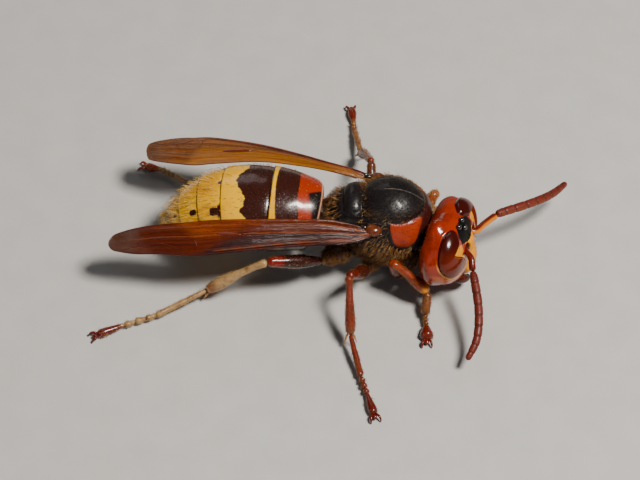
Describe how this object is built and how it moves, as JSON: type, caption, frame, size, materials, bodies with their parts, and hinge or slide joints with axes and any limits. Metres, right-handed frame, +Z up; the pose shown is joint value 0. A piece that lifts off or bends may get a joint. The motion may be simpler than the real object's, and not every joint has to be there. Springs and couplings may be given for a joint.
{
  "type": "european hornet",
  "caption": "European hornet standing with folded wings half spread, banded abdomen, splayed legs and forward feelers.",
  "frame": {"origin": "on the floor under the middle of the whole spread of legs, wings and feelers", "axes": "+X the way the thorax faces, along the body; +Y the hornet's left; +Z up"},
  "size_m": [0.0364, 0.0316, 0.0081],
  "materials": {
    "chitin": "glossy chestnut-red horn-like plate with fine golden hairs",
    "black_chitin": "shiny black-brown plate with fine golden-brown hairs",
    "banded_chitin": "smooth yellow plate with black-brown bands, lobes and spots",
    "jaw": "glossy yellow-orange jaw with a dark cutting edge",
    "eye": "very glossy dark red-brown compound eye",
    "leg": "satin red-brown to tan leg joints with short bristles",
    "wing": "thin amber see-through membrane with darker veins"
  },
  "bodies": {
    "root": {"abdomen_1": "banded_chitin", "abdomen_2": "banded_chitin", "abdomen_3": "banded_chitin", "abdomen_4": "banded_chitin", "abdomen_5": "banded_chitin", "abdomen_6": "banded_chitin", "antenna_flagellum_left": "chitin", "antenna_flagellum_right": "chitin", "antenna_scape_left": "chitin", "antenna_scape_right": "chitin", "eye_left": "eye", "eye_right": "eye", "fore_coxa_left": "black_chitin", "fore_coxa_right": "black_chitin", "fore_femur_left": "chitin", "fore_femur_right": "chitin", "fore_tarsus_left": "leg", "fore_tarsus_right": "leg", "fore_tibia_left": "leg", "fore_tibia_right": "leg", "forewing_left": "wing", "forewing_right": "wing", "head": "chitin", "hind_coxa_left": "black_chitin", "hind_coxa_right": "black_chitin", "hind_femur_left": "chitin", "hind_femur_right": "chitin", "hind_tarsus_left": "leg", "hind_tarsus_right": "leg", "hind_tibia_left": "leg", "hind_tibia_right": "leg", "hindwing_left": "wing", "hindwing_right": "wing", "mandible_left": "jaw", "mandible_right": "jaw", "mid_coxa_left": "black_chitin", "mid_coxa_right": "black_chitin", "mid_femur_left": "chitin", "mid_femur_right": "chitin", "mid_tarsus_left": "leg", "mid_tarsus_right": "leg", "mid_tibia_left": "leg", "mid_tibia_right": "leg", "tegula_left": "chitin", "tegula_right": "chitin", "thorax": "black_chitin"}
  },
  "joints": []
}
